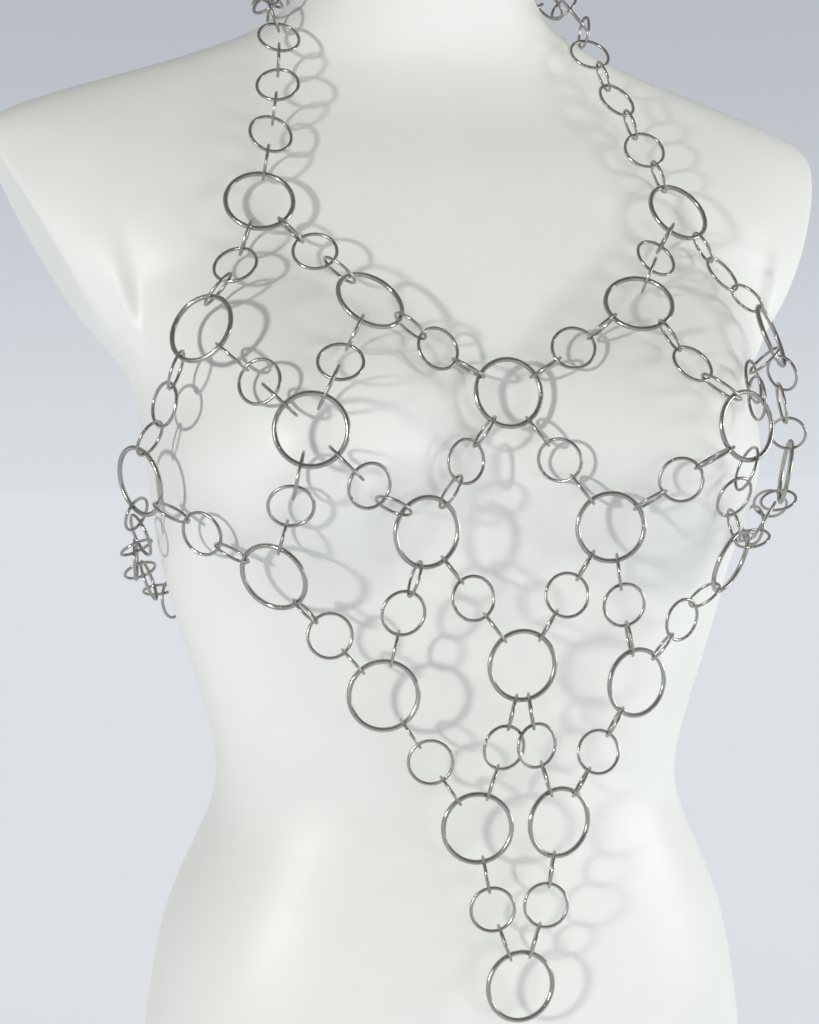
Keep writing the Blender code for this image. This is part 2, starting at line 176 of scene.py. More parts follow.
def smudgeGroup():
    # roughness that drifts between two values, as on a surface that is handled
    group, given, result = newGroup(
        "smudges",
        [("Least", "NodeSocketFloat", 0.2), ("Most", "NodeSocketFloat", 0.4),
         ("Scale", "NodeSocketFloat", 60.0)],
        [("Roughness", "NodeSocketFloat")])
    where = addNode(group, "ShaderNodeTexCoord").outputs["Object"]
    cloud = noiseValue(group, where, given.outputs["Scale"], effects["smudgeDetail"], effects["smudgeGrain"])
    spread = smoothRange(group, cloud, *effects["smudgeRange"])
    group.links.new(given.outputs["Least"], spread.inputs["To Min"])
    group.links.new(given.outputs["Most"], spread.inputs["To Max"])
    group.links.new(spread.outputs["Result"], result.inputs["Roughness"])
    return group


def fineReliefGroup():
    # tiny dents and short scuffs, as a height
    group, given, result = newGroup(
        "fineRelief",
        [("Dent Scale", "NodeSocketFloat", 900.0), ("Scuff Scale", "NodeSocketFloat", 400.0),
         ("Scuffs", "NodeSocketFloat", 0.5)],
        [("Height", "NodeSocketFloat")])
    where = addNode(group, "ShaderNodeTexCoord").outputs["Object"]
    dents = noiseValue(group, where, given.outputs["Dent Scale"], effects["fineDetail"])
    stretched = addNode(group, "ShaderNodeMapping")
    stretched.inputs["Rotation"].default_value = effects["scuffTurn"]
    stretched.inputs["Scale"].default_value = effects["scuffStretch"]
    group.links.new(where, stretched.inputs["Vector"])
    streaks = noiseValue(group, stretched.outputs["Vector"], given.outputs["Scuff Scale"],
                         effects["fineDetail"])
    lines = mathNode(group, "GREATER_THAN", streaks, effects["scuffLevel"])
    scuffs = mathNode(group, "MULTIPLY", mathNode(group, "MULTIPLY", lines, streaks),
                      given.outputs["Scuffs"])
    group.links.new(mathNode(group, "SUBTRACT", dents, scuffs), result.inputs["Height"])
    return group


groups = {"mottle": mottleGroup(), "smudges": smudgeGroup(), "fineRelief": fineReliefGroup()}


def placeGroup(tree, name, **values):
    node = addNode(tree, "ShaderNodeGroup", node_tree=groups[name], label=name)
    for key, value in values.items():
        node.inputs[key.replace("_", " ")].default_value = value
    return node


def newFinish(name, look):
    material = bpy.data.materials.new(name)
    material.use_nodes = True
    tree = material.node_tree
    shader = tree.nodes["Principled BSDF"]
    shader.inputs["Metallic"].default_value = look["metallic"]
    shader.inputs["IOR"].default_value = look["ior"]
    shader.inputs["Coat Weight"].default_value = look["coat"]
    shader.inputs["Coat Roughness"].default_value = look["coatRoughness"]
    colour = placeGroup(tree, "mottle", Tone=(*look["tone"], 1.0),
                        Second_Tone=(*look["secondTone"], 1.0), Scale=look["cloudScale"],
                        Fine_Scale=look["fineScale"], Sharpness=look["sharpness"])
    tree.links.new(colour.outputs["Color"], shader.inputs["Base Color"])
    rough = placeGroup(tree, "smudges", Least=look["roughness"][0], Most=look["roughness"][1],
                       Scale=look["smudgeScale"])
    tree.links.new(rough.outputs["Roughness"], shader.inputs["Roughness"])
    relief = placeGroup(tree, "fineRelief", Dent_Scale=look["dentScale"], Scuff_Scale=look["scuffScale"],
                        Scuffs=look["scuffs"])
    bump = addNode(tree, "ShaderNodeBump")
    bump.inputs["Strength"].default_value = look["reliefStrength"]
    bump.inputs["Distance"].default_value = look["reliefDepth"]
    tree.links.new(relief.outputs["Height"], bump.inputs["Height"])
    tree.links.new(bump.outputs["Normal"], shader.inputs["Normal"])
    return material


largeNickelLook = {
    "metallic": 1.0, "ior": 1.5, "coat": 0.0, "coatRoughness": 0.1,
    "tone": (0.485, 0.465, 0.44), "secondTone": (0.38, 0.36, 0.338),
    "cloudScale": 45.0, "fineScale": 700.0, "sharpness": 0.16,
    "roughness": (0.13, 0.30), "smudgeScale": 160.0,
    "dentScale": 700.0, "scuffScale": 900.0, "scuffs": 0.5,
    "reliefStrength": 0.25, "reliefDepth": 0.00012,
}
smallNickelLook = {
    **largeNickelLook,
    "tone": (0.475, 0.455, 0.43), "secondTone": (0.36, 0.34, 0.318),
    "roughness": (0.16, 0.34), "smudgeScale": 240.0,
    "reliefDepth": 0.00009,
}
formLook = {
    "metallic": 0.0, "ior": 1.46, "coat": 0.12, "coatRoughness": 0.35,
    "tone": (0.80, 0.81, 0.775), "secondTone": (0.765, 0.775, 0.74),
    "cloudScale": 9.0, "fineScale": 60.0, "sharpness": 0.25,
    "roughness": (0.42, 0.56), "smudgeScale": 22.0,
    "dentScale": 420.0, "scuffScale": 60.0, "scuffs": 0.08,
    "reliefStrength": 0.18, "reliefDepth": 0.0002,
}
largeNickel = newFinish("largeNickel", largeNickelLook)
smallNickel = newFinish("smallNickel", smallNickelLook)
formSatin = newFinish("formSatin", formLook)
print("Finishes made")


# The torso form, in sections from the base up. The columns are the height, half the width, how far
# forward its widest place lies, the reach to the front and to the back, and how square it is.
sections = np.array((
    (0, 149, 0, 87, 114, 2.2),
    (45, 150, 2, 90, 117, 2.2),
    (85, 147, 2, 92, 112, 2.2),
    (118, 142, 0, 91, 104, 2.2),
    (145, 135, -2, 87, 97, 2.2),
    (170, 124, -2, 83, 91, 2.2),
    (200, 113, 2, 79, 85, 2.2),
    (225, 115, 8, 77, 83, 2.2),
    (255, 124, 13, 75, 86, 2.15),
    (290, 135, 15, 74, 93, 2.1),
    (330, 143, 12, 75, 100, 2.05),
    (365, 146, 4, 77, 106, 2.1),
    (397, 153, -6, 73, 111, 2.25),
    (430, 182, -22, 60, 115, 2.35),
    (470, 211, -38, 38, 117, 2.3),
    (500, 216, -46, 17, 115, 2.2),
    (517, 206, -50, 3, 112, 2.1),
    (532, 168, -51, -7, 109, 2.05),
    (547, 121, -50, -13, 106, 2.0),
    (563, 82, -50, -12, 104, 2.0),
    (590, 58, -51, -6, 103, 2.0),
    (640, 53, -54, -1, 105, 2.0),
), dtype=float)
bust = {"across": 94, "height": 362, "rise": 42, "wide": 96, "above": 94, "below": 76, "fade": 0.35}
formShape = {
    "sides": 360,
    "levels": ((0, 390, 98), (390, 590, 100), (590, 640, 13)),   # from, to, steps
    "armCutLow": (158, 400),       # the flat arm cuts run through these two places
    "armCutHigh": (216, 512),
    "armCutStarts": (386, 399),    # heights over which the cut fades in
    "armRimSoftness": 2.6,
    "foldLow": (147, 407),         # a soft fold runs up in front of each arm through these two places
    "foldHigh": (158, 467),
    "foldHeights": (358, 390, 436, 472),   # where it starts, is full, starts to fade and ends
    "foldDepth": 5.0,
    "foldInner": 34.0,             # its width towards the chest
    "foldOuter": 9.0,              # and towards the arm
    "foldBehind": 0.5,             # how deep it is at the back, as a share
    "edgeRadius": 3.0,             # rounding of the base and of the neck's top
    "edgeSteps": 5,
    "skinLevels": 161,             # a coarser copy, from which the net keeps its distance
    "skinSides": 144,
    "sharpAngle": 50,              # degrees between facets that keep their edge
}


def curveThrough(heights, values):
    # a natural cubic spline through one column of the table
    gaps = np.diff(heights)
    system = np.zeros((len(heights), len(heights)))
    rightSide = np.zeros(len(heights))
    system[0, 0] = system[-1, -1] = 1.0
    slopes = np.diff(values) / gaps
    for i in range(1, len(heights) - 1):
        system[i, i - 1:i + 2] = gaps[i - 1], 2.0 * (gaps[i - 1] + gaps[i]), gaps[i]
        rightSide[i] = 6.0 * (slopes[i] - slopes[i - 1])
    bends = np.linalg.solve(system, rightSide)

    def value(height):
        i = min(max(int(np.searchsorted(heights, height)) - 1, 0), len(gaps) - 1)
        below = (heights[i + 1] - height) / gaps[i]
        above = 1.0 - below
        bow = (below ** 3 - below) * bends[i] + (above ** 3 - above) * bends[i + 1]
        return below * values[i] + above * values[i + 1] + bow * gaps[i] ** 2 / 6.0

    return value


sectionCurves = [curveThrough(sections[:, 0], sections[:, i]) for i in range(1, sections.shape[1])]


def skinRow(height, sides, inset=0.0):
    # one level of the skin, as an array of points in millimetres
    halfWidth, side, front, back, square = (curve(height) for curve in sectionCurves)
    turns = 2.0 * pi * np.arange(sides) / sides
    out, ahead = np.sin(turns), np.cos(turns)
    reach = (np.abs(out) ** square + np.abs(ahead) ** square) ** (-1.0 / square)
    across = halfWidth * reach * out
    depth = np.where(ahead > 0, front - side, back + side)
    forward = side + depth * reach * ahead
    under = bust["above"] if height > bust["height"] else bust["below"]
    sideways = (np.abs(across) - bust["across"]) / bust["wide"]
    upright = (height - bust["height"]) / under
    rise = bust["rise"] * np.maximum(1.0 - sideways ** 2 - upright ** 2, 0.0) ** 2
    forward += rise * np.clip(ahead / bust["fade"], 0.0, 1.0)
    points = np.stack([across, -forward, np.full(sides, float(height))], axis=1)
    if inset:
        middle = points[:, :2].mean(axis=0)
        arm = points[:, :2] - middle
        length = np.linalg.norm(arm, axis=1, keepdims=True)
        points[:, :2] = middle + arm * (1.0 - inset / length)
    return points


def tubeFaces(rows, sides):
    faces = []
    for i in range(rows - 1):
        for j in range(sides):
            k = (j + 1) % sides
            faces.append((i * sides + j, i * sides + k, (i + 1) * sides + k, (i + 1) * sides + j))
    return faces


def smoothShare(value, low, high):
    share = np.clip((value - low) / (high - low), 0.0, 1.0)
    return share * share * (3.0 - 2.0 * share)


def cutArms(points):
    # flattens what lies past the arm cuts onto them, with a soft rim
    shape = formShape
    soft = shape["armRimSoftness"]
    low, high = np.array(shape["armCutLow"], float), np.array(shape["armCutHigh"], float)
    up = (high - low) / np.linalg.norm(high - low)
    out = np.array((up[1], -up[0]))
    side = np.where(points[:, 0] < 0, -1.0, 1.0)
    past = (np.abs(points[:, 0]) - low[0]) * out[0] + (points[:, 2] - low[1]) * out[1]
    pulled = np.where(past > soft, past, np.where(past > -soft, (past + soft) ** 2 / (4 * soft), 0.0))
    pulled *= smoothShare(points[:, 2], *shape["armCutStarts"])
    points[:, 0] -= side * pulled * out[0]
    points[:, 2] -= pulled * out[1]
    return points


def foldArmpits(points):
    # presses a soft fold into the skin between the chest and each arm
    shape = formShape
    low, high = shape["foldLow"], shape["foldHigh"]
    line = low[0] + (points[:, 2] - low[1]) * (high[0] - low[0]) / (high[1] - low[1])
    out = np.abs(points[:, 0]) - line
    start, full, fade, end = shape["foldHeights"]
    depth = smoothShare(points[:, 2], start, full) * (1.0 - smoothShare(points[:, 2], fade, end))
    depth *= smoothShare(out, -shape["foldInner"], 0.0) * (1.0 - smoothShare(out, 0.0, shape["foldOuter"]))
    behind = points[:, 1] > -sectionCurves[1](shape["foldLow"][1])
    points[:, 1] += shape["foldDepth"] * depth * np.where(behind, -shape["foldBehind"], 1.0)
    return points


def roundedEnd(height, direction):
    # levels and insets that round an end off, from the end inwards
    shape = formShape
    radius = shape["edgeRadius"]
    levels = []
    for i in range(shape["edgeSteps"] + 1):
        turn = 0.5 * pi * i / shape["edgeSteps"]
        levels.append((height + direction * radius * (1.0 - cos(turn)), radius * (1.0 - sin(turn))))
    return levels


def newMeshPiece(name, points, faces, material, sharpAngle):
    mesh = bpy.data.meshes.new(name)
    mesh.from_pydata([tuple(point) for point in points], [], faces)
    mesh.materials.append(material)
    mesh.shade_smooth()
    mesh.set_sharp_from_angle(angle=radians(sharpAngle))
    piece = bpy.data.objects.new(name, mesh)
    bpy.context.scene.collection.objects.link(piece)
    return piece


def buildForm():
    shape = formShape
    bottom, top = sections[0, 0], sections[-1, 0]
    levels = roundedEnd(bottom, 1.0)
    for low, high, steps in shape["levels"]:
        levels += [(low + (high - low) * (i + 1) / steps, 0.0) for i in range(steps)]
    levels = [level for level in levels if level[1] or level[0] >= shape["edgeRadius"]]
    levels = [level for level in levels if level[0] <= top - shape["edgeRadius"]]
    levels += list(reversed(roundedEnd(top, -1.0)))
    sides = shape["sides"]
    points = np.concatenate([skinRow(height, sides, inset) for height, inset in levels])
    faces = tubeFaces(len(levels), sides)
    faces.append(tuple(reversed(range(sides))))
    faces.append(tuple(range((len(levels) - 1) * sides, len(levels) * sides)))
    points = cutArms(foldArmpits(points)) * mm
    form = newMeshPiece("torsoForm", points, faces, formSatin, shape["sharpAngle"])
    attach(form, "root")
    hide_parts("torso_form")


def skinTree():
    shape = formShape
    heights = np.linspace(sections[0, 0], sections[-1, 0], shape["skinLevels"])
    points = np.concatenate([skinRow(height, shape["skinSides"]) for height in heights]) * mm
    faces = tubeFaces(len(heights), shape["skinSides"])
    return BVHTree.FromPolygons([Vector(point) for point in points], faces)


def offSkin(skin, place):
    # how far a place lies off the form, and the way off it there
    foot, outward, _, _ = skin.find_nearest(place)
    return (place - foot).dot(outward), outward


buildForm()
print("Form built")


# Where the rings hang: the same places as in the solids
ringSizes = {   # outside and wire diameter, and facets round the ring and round its wire
    "large": {"outside": 32.0, "wire": 2.2, "around": 72, "sides": 16},
    "medium": {"outside": 20.6, "wire": 1.5, "around": 56, "sides": 14},
    "jump": {"outside": 17.2, "wire": 1.4, "around": 44, "sides": 12},
}
netShape = {
    "chainPitch": 30.8,     # between the medium rings of a chain
    "runningGap": 0.4,      # between a jump ring and the wire that it hangs on
    "jointOverlap": 0.3,    # of a jump ring and the medium ring that holds it
    "slack": 2.0,           # how much shorter than taut a link may be
    "skinGap": 1.5,         # between the jump rings and the form
    "restHeight": 6.0,      # of the larger rings' middles over the form
    "mediumSwivel": 10.0,   # degrees
    "mostLean": 78.0,       # degrees
    "jumpsFace": (-281.0, -859.0, 392.0),   # the place that the jump rings point their rims at
    "jumpUpright": 1.4,     # how strongly they stand upright instead, where the form faces away
    "rounds": 400,
}
ringPlaces = (   # row, column, across, forward, height
    ("a", 2, 100, 41, 473),
    ("b", 3, 129, 70, 412),
    ("b", 1, 62, 81, 425),
    ("c", 4, 147, 50, 350),
    ("c", 2, 97, 114, 371),
    ("c", 0, 0, 86, 387),
    ("d", 3, 104, 86, 310),
    ("d", 1, 43, 100, 329),
    ("e", 2, 59, 93, 258),
    ("e", 0, 0, 105, 270),
    ("f", 1, 19, 101, 199),
    ("g", 0, 0, 104, 128),
)
turned = {("c", -4): (9, -10), ("c", 4): (0, -14), ("b", -3): (2, 3)}   # across, forward
mediumNudges = {("e", 0, "f", 1): -2, ("f", 1, "g", 0): 3}
chains = {   # first large ring, count of medium rings, and the left half's route
    "neck": (("a", 2), 17, ((84, 10, 526), (57, -34, 570), (48, -72, 585), (34, -110, 556), (0, -124, 512))),
    "back": (("c", 4), 16, ((151, 30, 328), (147, -15, 304), (119, -66, 280), (61, -90, 260), (0, -96, 250))),
}


def middleRadius(kind):
    return (ringSizes[kind]["outside"] - ringSizes[kind]["wire"]) / 2 * mm


def touch(kind):
    # between the middles of two wires that touch, one of them a jump ring's
    return (ringSizes["jump"]["wire"] + ringSizes[kind]["wire"]) / 2 * mm


def largeTie(large, medium):
    # a large ring and a medium one: taut distance, slack, and where their jump ring's middle lies
    held = touch("medium") - netShape["jointOverlap"] * mm
    loose = touch("large") + netShape["runningGap"] * mm
    jumpMiddle = middleRadius("large") - loose + middleRadius("jump")
    taut = jumpMiddle + middleRadius("jump") - held + middleRadius("medium")
    return large, medium, taut, netShape["slack"] * mm, jumpMiddle / taut


def largePlaces():
    places = {}
    for row, column, across, forward, height in ringPlaces:
        for side in (1, -1):
            name = (row, side * column)
            out, ahead = turned.get(name, (0, 0))
            places[name] = Vector((side * across + out, -forward - ahead, height)) * mm
    return places


def linkNames(large):
    return [upper + lower for upper in large for lower in large
            if ord(lower[0]) - ord(upper[0]) == 1 and abs(lower[1] - upper[1]) == 1]


def chainPlaces(start, end, route, rings):
    half = [Vector((across, -forward, height)) * mm for across, forward, height in route]
    mirroredHalf = [Vector((-stop.x, stop.y, stop.z)) for stop in reversed(half[:-1])]
    stops = [start] + half + mirroredHalf + [end]
    lengths = np.cumsum([0.0] + [(b - a).length for a, b in zip(stops, stops[1:])])
    chain = []
    for i in range(1, rings + 1):
        at = lengths[-1] * i / (rings + 1)
        k = int(np.searchsorted(lengths, at))
        share = (at - lengths[k - 1]) / (lengths[k] - lengths[k - 1])
        chain.append(stops[k - 1].lerp(stops[k], share))
    return chain


def chainTies(chain):
    (row, column), rings, _ = chains[chain]
    pitch = netShape["chainPitch"] * mm
    ties = [largeTie((row, column), (chain, 0))]
    ties += [((chain, i), (chain, i + 1), pitch, 0.0, 0.5) for i in range(rings - 1)]
    ties.append(largeTie((row, -column), (chain, rings - 1)))
    return ties


def jumpLean(middle, outward, along):
    # the turn of a jump ring about its link from upright, the way across, and the way off the form
    across = outward.cross(along).normalized()
    away = along.cross(across)
    front = (Vector(netShape["jumpsFace"]) * mm - middle).normalized()
    ahead = outward.dot(front)
    share = min(max(2.0 * ahead + 1.0, 0.0), 1.0)   # none round the back
    point = netShape["jumpUpright"] * (1.0 - ahead) * outward + share * front
    lean = atan2(point.dot(across), point.dot(away))
    most = radians(netShape["mostLean"])
    return min(max(lean, -most), most), across, away


def settle(places, ties, fixed, skin):
    # moves each ring a little, over and over, until the links are taut and clear of the form
    movable = sorted({name for tie in ties for name in tie[:2]} - fixed)
    rest = netShape["restHeight"] * mm
    clear = (ringSizes["jump"]["wire"] / 2 + netShape["skinGap"]) * mm
    for _ in range(netShape["rounds"]):
        for first, second, taut, slack, jumpAt in ties:
            gap = places[second] - places[first]
            excess = gap.length - taut
            if excess < 0.0:
                excess = min(excess + slack, 0.0)
            move = gap.normalized() * excess
            if first in fixed:
                places[second] -= move
            else:
                places[first] += move / 2
                places[second] -= move / 2
            middle = places[first].lerp(places[second], jumpAt)
            height, outward = offSkin(skin, middle)
            lean, _, _ = jumpLean(middle, outward, (places[second] - places[first]).normalized())
            lift = middleRadius("jump") * cos(lean) + clear - height
            if lift > 0.0:
                places[second] += outward * lift
                if first not in fixed:
                    places[first] += outward * lift
        for name in movable:
            height, outward = offSkin(skin, places[name])
            if height < rest:
                places[name] += outward * (rest - height)


def settledNet(skin):
    places = largePlaces()
    large = list(places)
    ties = []
    for link in linkNames(large):
        upper, lower = link[:2], link[2:]
        places[link] = (places[upper] + places[lower]) / 2
        ties += [largeTie(upper, link), largeTie(lower, link)]
    for (upper, u, lower, w), outward in mediumNudges.items():
        places[(upper, u, lower, w)].x += outward * mm
        places[(upper, -u, lower, -w)].x -= outward * mm
    settle(places, ties, set(), skin)
    for chain, ((row, column), rings, route) in chains.items():
        start, end = places[(row, column)], places[(row, -column)]
        for i, place in enumerate(chainPlaces(start, end, route, rings)):
            places[(chain, i)] = place
        settle(places, chainTies(chain), set(large), skin)
        ties += chainTies(chain)
    return places, ties


def ringFrame(middle, along, outward):
    along = along.normalized()
    facing = (outward - outward.dot(along) * along).normalized()
    matrix = Matrix((along, facing.cross(along), facing)).transposed().to_4x4()
    matrix.translation = middle
    return matrix


def largeFrame(name, places, ties, skin):
    # a large ring lies in the plane of the links that pull on it
    spokes = []
    for first, second, *_ in ties:
        if name in (first, second):
            spokes.append(places[second if name == first else first] - places[name])
    _, outward = offSkin(skin, places[name])
    across = outward.orthogonal().normalized()
    beside = outward.cross(across)
    spokes.sort(key=lambda spoke: atan2(spoke.dot(beside), spoke.dot(across)))
    facing = Vector()
    for first, second in zip(spokes, spokes[1:] + spokes[:1]):
        facing += first.cross(second)
    if len(spokes) == 2:
        facing = spokes[0].cross(spokes[1])
    if facing.dot(outward) < 0.0:
        facing.negate()
    return ringFrame(places[name], facing.cross(Vector((1.0, 0.0, 0.0))), facing)


def mediumFrame(before, middle, after, turn, skin):
    along = after - before
    _, outward = offSkin(skin, middle)
    return ringFrame(middle, along, Matrix.Rotation(radians(turn), 3, along) @ outward)


def rimPoint(matrix, kind, towards):
    # where the middle line of a round ring's wire crosses the way to another place
    local = matrix.inverted() @ towards
    turn = atan2(local.y, local.x)
    radius = middleRadius(kind)
    return matrix @ Vector((radius * cos(turn), radius * sin(turn), 0.0))


def jumpFrame(hold, hang, hangKind, skin):
    # a jump ring drawn tight round two wires, and its own middle radius
    along = (hang - hold).normalized()
    radius = ((hang - hold).length + touch("medium") + touch(hangKind)) / 2
    middle = hold + along * (radius - touch("medium"))
    height, outward = offSkin(skin, middle)
    wire = ringSizes["jump"]["wire"] * mm
    room = (height - netShape["skinGap"] * mm - wire / 2) / radius
    leastLean = acos(min(max(room, cos(radians(netShape["mostLean"]))), 1.0))
    lean, across, away = jumpLean(middle, outward, along)
    if abs(lean) < leastLean:
        lean = copysign(leastLean, lean)
    return ringFrame(middle, along, across * cos(lean) - away * sin(lean)), radius


# Drawing the rings
ringDetail = {
    "seed": 12,
    "weldHeight": 0.05,      # a large ring's weld, as a share of its wire's radius
    "weldLength": 1.1,
    "cutWidth": 0.14,        # the hairline gap where a smaller ring is closed
    "cutEdge": 0.10,         # how far its edges are rounded
    "cutSpread": 24.0,       # degrees either way from halfway between the two contacts
    "sharpAngle": 40,        # degrees between facets that keep their edge
}
chance = random.Random(ringDetail["seed"])


def wireLoop(radius, kind, turns, swells):
    # points of a wire bent round a ring: one loop of points for each turn
    size = ringSizes[kind]
    thick = size["wire"] * mm / 2
    around = 2.0 * pi * np.arange(size["sides"]) / size["sides"]
    reach = radius + thick * np.outer(swells, np.cos(around))
    rise = thick * np.outer(swells, np.sin(around))
    flat = np.stack([reach * np.cos(turns)[:, None], reach * np.sin(turns)[:, None], rise], axis=2)
    return flat.reshape(-1, 3)


def weldedRing(kind):
    # a closed ring with a faint weld
    count = ringSizes[kind]["around"]
    turns = 2.0 * pi * np.arange(count) / count
    radius = middleRadius(kind)
    weldAt = chance.uniform(0.0, 2.0 * pi)
    away = np.abs((turns - weldAt + pi) % (2.0 * pi) - pi) * radius
    swells = 1.0 + ringDetail["weldHeight"] * np.exp(-(away / (ringDetail["weldLength"] * mm)) ** 2)
    points = wireLoop(radius, kind, turns, swells)
    sides = ringSizes[kind]["sides"]
    faces = tubeFaces(count, sides)
    last = (count - 1) * sides
    faces += [(last + j, last + (j + 1) % sides, (j + 1) % sides, j) for j in range(sides)]
    return points, faces


def cutRing(kind, radius):
    # a ring bent round from cut wire, its two ends a hairline apart
    count = ringSizes[kind]["around"]
    sides = ringSizes[kind]["sides"]
    half = ringDetail["cutWidth"] * mm / 2 / radius
    edge = ringDetail["cutEdge"] * mm / radius
    # the contacts lie at 0 and 180 degrees, so the cut is near 90 degrees to either side
    middle = radians(90.0 * chance.choice((1, -1)) + chance.uniform(-1, 1) * ringDetail["cutSpread"])
    inner = np.linspace(half + edge, 2.0 * pi - half - edge, count)
    firstEnd = [half, half + edge / 3]
    lastEnd = [2.0 * pi - half - edge / 3, 2.0 * pi - half]
    turns = middle + np.concatenate([firstEnd, inner, lastEnd])
    rim = ringDetail["cutEdge"] / (ringSizes[kind]["wire"] / 2)
    swells = np.ones(len(turns))   # each end is rounded in two steps
    swells[[0, -1]] = 1.0 - rim
    swells[[1, -2]] = 1.0 - rim / 4
    points = wireLoop(radius, kind, turns, swells)
    faces = tubeFaces(len(turns), sides)
    last = (len(turns) - 1) * sides
    faces.append(tuple(reversed(range(sides))))
    faces.append(tuple(range(last, last + sides)))
    return points, faces


def joined(rings):
    # one mesh's points and faces out of several placed rings
    allPoints, allFaces, start = [], [], 0
    for matrix, (points, faces) in rings:
        turn = np.array(matrix.to_3x3())
        allPoints.append(points @ turn.T + np.array(matrix.translation))
        allFaces += [tuple(start + index for index in face) for face in faces]
        start += len(points)
    return np.concatenate(allPoints), allFaces


def ringPiece(name, node, rings, material):
    points, faces = joined(rings)
    piece = newMeshPiece(name, points, faces, material, ringDetail["sharpAngle"])
    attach(piece, "root")
    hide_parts(node)


def label(row, column):
    side = {1: "_left", 0: "", -1: "_right"}[int(np.sign(column))]
    return f"{row}{abs(column)}{side}"


skin = skinTree()
places, ties = settledNet(skin)
largeFrames = {name: largeFrame(name, places, ties, skin) for name in largePlaces()}
print("Net settled:", len(places), "rings placed")


def mediumRing(matrix):
    return matrix, cutRing("medium", middleRadius("medium"))


def jumpRing(hold, hang, hangKind):
    matrix, radius = jumpFrame(hold, hang, hangKind, skin)
    return matrix, cutRing("jump", radius)


def jumpToLarge(medium, largeName):
    large = largeFrames[largeName]
    hold = rimPoint(medium, "medium", large.translation)
    hang = rimPoint(large, "large", medium.translation)
    return jumpRing(hold, hang, "large")


def jumpBetween(first, second):
    hang = rimPoint(first, "medium", second.translation)
    hold = rimPoint(second, "medium", first.translation)
    return jumpRing(hold, hang, "medium")


def buildLargeRings():
    for name, matrix in largeFrames.items():
        ring = matrix, weldedRing("large")
        place = label(*name)
        ringPiece("largeRing_" + place, "ring_" + place, [ring], largeNickel)


def buildLinks():
    for i, link in enumerate(linkNames(largeFrames)):
        upper, lower = link[:2], link[2:]
        turn = netShape["mediumSwivel"] * (1 if i // 2 % 2 else -1)
        matrix = mediumFrame(places[upper], places[link], places[lower], turn, skin)
        rings = [mediumRing(matrix), jumpToLarge(matrix, upper), jumpToLarge(matrix, lower)]
        side = "left" if upper[1] + lower[1] > 0 else "right"
        pair = f"{upper[0]}{abs(upper[1])}_{lower[0]}{abs(lower[1])}_{side}"
        ringPiece("smallRings_" + pair, "link_" + pair, rings, smallNickel)


def buildChain(chain):
    (row, column), rings, _ = chains[chain]
    middle = (rings - 1) // 2
    way = [places[(chain, i)] for i in range(rings)]
    stops = [places[(row, column)]] + way + [places[(row, -column)]]
    matrices = []
    for i, place in enumerate(way):
        turn = netShape["mediumSwivel"] * (1 if i % 2 else -1)
        matrices.append(mediumFrame(stops[i], place, stops[i + 2], turn, skin))
    left = [mediumRing(matrix) for matrix in matrices[:middle + 1]]
    right = [mediumRing(matrix) for matrix in matrices[middle + 1:]]
    left.append(jumpToLarge(matrices[0], (row, column)))
    right.append(jumpToLarge(matrices[-1], (row, -column)))
    for i in range(rings - 1):
        half = left if i < middle else right
        half.append(jumpBetween(matrices[i], matrices[i + 1]))
    for side, half in (("left", left), ("right", right)):
        ringPiece(f"{chain}Chain_{side}", f"{chain}_chain_{side}", half,
                  smallNickel)


buildLargeRings()
buildLinks()
for chainName in chains:
    buildChain(chainName)
print("Rings drawn")


# Floor, backdrop and lights
studio = {
    "floorSize": 12.0,                   # metres
    "floorSteps": 24,
    "floorDrop": 0.0004,                 # how far the floor lies under the base
    "floorRoughness": 0.8,
    "floorTone": (0.60, 0.62, 0.64),
    "floorGlow": (0.30, 0.31, 0.32),     # light of its own, as a pale floor lit from all round
    "floorBlend": (0.14, 0.55),          # metres from the form over which the floor turns into the backdrop
    "backdropLow": (0.715, 0.75, 0.785),    # below the horizon
    "backdropHigh": (0.47, 0.50, 0.55),
    "backdropRise": (-0.12, 0.24),       # sines of the elevations where the two tones start
    "ambientFront": (0.03, 0.03, 0.03),  # the light from the room's front, back and top
    "ambientBack": (0.25, 0.255, 0.26),
    "ambientTop": (0.40, 0.40, 0.395),
    "ambientTurn": (-0.8, 0.4),          # sines over which the front turns into the back
    "ambientRise": (0.2, 0.9),           # and the sides into the top
    "glossDark": (0.24, 0.235, 0.236),   # what the rings mirror from the room's front, sides and back
    "glossBright": (0.385, 0.40, 0.395),
    "glossBack": (0.34, 0.35, 0.355),
    "glossTurn": (-0.3, 0.5),            # sines over which the front turns into the back
    "glossAside": (0.45, 0.85),          # and both into the sides
}
lights = {   # azimuth and elevation in degrees, distance and sizes in metres, power in watts
    "leftLamp": {"azimuth": -53, "elevation": 7, "distance": 1.9, "size": (0.12, 0.12),
                 "power": 17.0, "tint": (1.0, 0.99, 0.975), "mirrored": True},
    "rightSoftbox": {"azimuth": 75, "elevation": 0, "distance": 1.9, "size": (0.5, 0.5),
                     "power": 8.4, "tint": (0.985, 1.0, 0.995), "mirrored": True},
    "rightHighSoftbox": {"azimuth": 55, "elevation": 20, "distance": 1.9, "size": (0.7, 0.7),
                         "power": 11.8, "tint": (0.99, 1.0, 0.985), "mirrored": False},
    "frontFill": {"azimuth": 18, "elevation": -8, "distance": 1.7, "size": (0.9, 0.7),
                  "power": 6.5, "tint": (1.0, 0.998, 0.985), "mirrored": False},
    "backFill": {"azimuth": 180, "elevation": 5, "distance": 1.9, "size": (1.0, 1.0),
                 "power": 16.0, "tint": (1.0, 1.0, 1.0), "mirrored": False},
}


